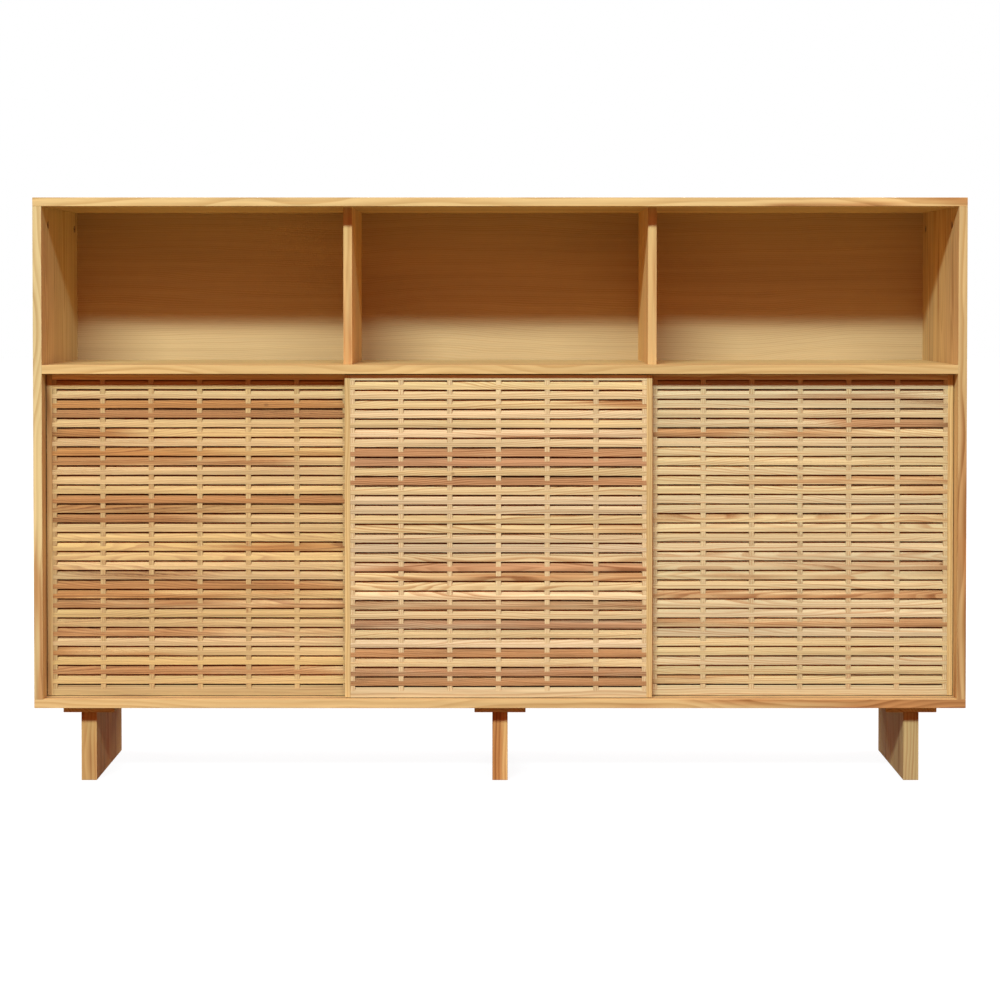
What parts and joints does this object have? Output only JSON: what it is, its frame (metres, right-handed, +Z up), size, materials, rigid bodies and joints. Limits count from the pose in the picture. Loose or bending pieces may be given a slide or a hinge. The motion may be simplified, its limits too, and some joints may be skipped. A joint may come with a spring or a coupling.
{
  "type": "kitchen hutch",
  "caption": "Low pine kitchen hutch with open bays over a cupboard closed by sliding slatted doors, standing on plank legs.",
  "frame": {"origin": "on the floor, under the middle of the carcass", "axes": "+Z up, the front with the doors faces -Y, +X to the right as seen from the front"},
  "size_m": [1.8, 0.4, 1.136],
  "materials": {
    "pine": "clear satin lacquer",
    "slat_pine": "clear satin lacquer",
    "batten_pine": "clear satin lacquer",
    "back_panel": "clear satin lacquer",
    "beech_dowel": "bare",
    "track_plastic": "brown",
    "roller_plastic": "white",
    "zinc_fitting": "dark bronze",
    "screw_steel": "zinc plated"
  },
  "bodies": {
    "carcass": {"top_board": "pine", "bottom_board": "pine", "left_side_panel": "pine", "right_side_panel": "pine", "fixed_shelf": "pine", "left_bay_divider": "pine", "right_bay_divider": "pine", "left_partition": "pine", "right_partition": "pine", "left_inner_shelf": "pine", "centre_inner_shelf": "pine", "right_inner_shelf": "pine", "left_leg": "pine", "centre_leg": "pine", "right_leg": "pine", "left_leg_plate": "pine", "centre_leg_plate": "pine", "right_leg_plate": "pine", "upper_back_panel": "back_panel", "lower_back_panel": "back_panel", "upper_tracks": "track_plastic", "lower_tracks": "track_plastic", "cam_locks": "zinc_fitting", "cam_bolts": "zinc_fitting", "shelf_pins": "zinc_fitting", "back_panel_screws": "screw_steel", "leg_plate_screws": "screw_steel", "leg_screws": "screw_steel", "dowels": "beech_dowel"},
    "left_door": {"left_door_left_stile": "pine", "left_door_right_stile": "pine", "left_door_top_rail": "pine", "left_door_bottom_rail": "pine", "left_door_battens": "batten_pine", "left_door_slats": "slat_pine", "left_door_top_guides": "track_plastic", "left_door_roller_housings": "track_plastic"},
    "left_door_left_roller": {"left_door_left_roller": "roller_plastic"},
    "left_door_right_roller": {"left_door_right_roller": "roller_plastic"},
    "middle_door": {"middle_door_left_stile": "pine", "middle_door_right_stile": "pine", "middle_door_top_rail": "pine", "middle_door_bottom_rail": "pine", "middle_door_battens": "batten_pine", "middle_door_slats": "slat_pine", "middle_door_top_guides": "track_plastic", "middle_door_roller_housings": "track_plastic"},
    "middle_door_left_roller": {"middle_door_left_roller": "roller_plastic"},
    "middle_door_right_roller": {"middle_door_right_roller": "roller_plastic"},
    "right_door": {"right_door_left_stile": "pine", "right_door_right_stile": "pine", "right_door_top_rail": "pine", "right_door_bottom_rail": "pine", "right_door_battens": "batten_pine", "right_door_slats": "slat_pine", "right_door_top_guides": "track_plastic", "right_door_roller_housings": "track_plastic"},
    "right_door_left_roller": {"right_door_left_roller": "roller_plastic"},
    "right_door_right_roller": {"right_door_right_roller": "roller_plastic"}
  },
  "joints": [
    {"name": "left_door_slide", "type": "slide", "parent": "carcass", "child": "left_door", "axis": [1, 0, 0], "range_m": [0, 0.2845]},
    {"name": "left_door_left_roller_spin", "type": "hinge", "parent": "left_door", "child": "left_door_left_roller", "pos_m": [-0.8115, -0.1515, 0.1717], "axis": [0, 1, 0], "continuous": true},
    {"name": "left_door_right_roller_spin", "type": "hinge", "parent": "left_door", "child": "left_door_right_roller", "pos_m": [-0.3565, -0.1515, 0.1717], "axis": [0, 1, 0], "continuous": true},
    {"name": "middle_door_slide", "type": "slide", "parent": "carcass", "child": "middle_door", "axis": [1, 0, 0], "range_m": [-0.581, 0.587]},
    {"name": "middle_door_left_roller_spin", "type": "hinge", "parent": "middle_door", "child": "middle_door_left_roller", "pos_m": [-0.2305, -0.176, 0.1717], "axis": [0, 1, 0], "continuous": true},
    {"name": "middle_door_right_roller_spin", "type": "hinge", "parent": "middle_door", "child": "middle_door_right_roller", "pos_m": [0.2245, -0.176, 0.1717], "axis": [0, 1, 0], "continuous": true},
    {"name": "right_door_slide", "type": "slide", "parent": "carcass", "child": "right_door", "axis": [1, 0, 0], "range_m": [-0.2845, 0]},
    {"name": "right_door_left_roller_spin", "type": "hinge", "parent": "right_door", "child": "right_door_left_roller", "pos_m": [0.3565, -0.1515, 0.1717], "axis": [0, 1, 0], "continuous": true},
    {"name": "right_door_right_roller_spin", "type": "hinge", "parent": "right_door", "child": "right_door_right_roller", "pos_m": [0.8115, -0.1515, 0.1717], "axis": [0, 1, 0], "continuous": true}
  ],
  "couplings": [
    {"joint": "left_door_left_roller_spin", "follows": "left_door_slide", "rad_per_m": 108.7},
    {"joint": "left_door_right_roller_spin", "follows": "left_door_slide", "rad_per_m": 108.7},
    {"joint": "middle_door_left_roller_spin", "follows": "middle_door_slide", "rad_per_m": 108.7},
    {"joint": "middle_door_right_roller_spin", "follows": "middle_door_slide", "rad_per_m": 108.7},
    {"joint": "right_door_left_roller_spin", "follows": "right_door_slide", "rad_per_m": 108.7},
    {"joint": "right_door_right_roller_spin", "follows": "right_door_slide", "rad_per_m": 108.7}
  ]
}
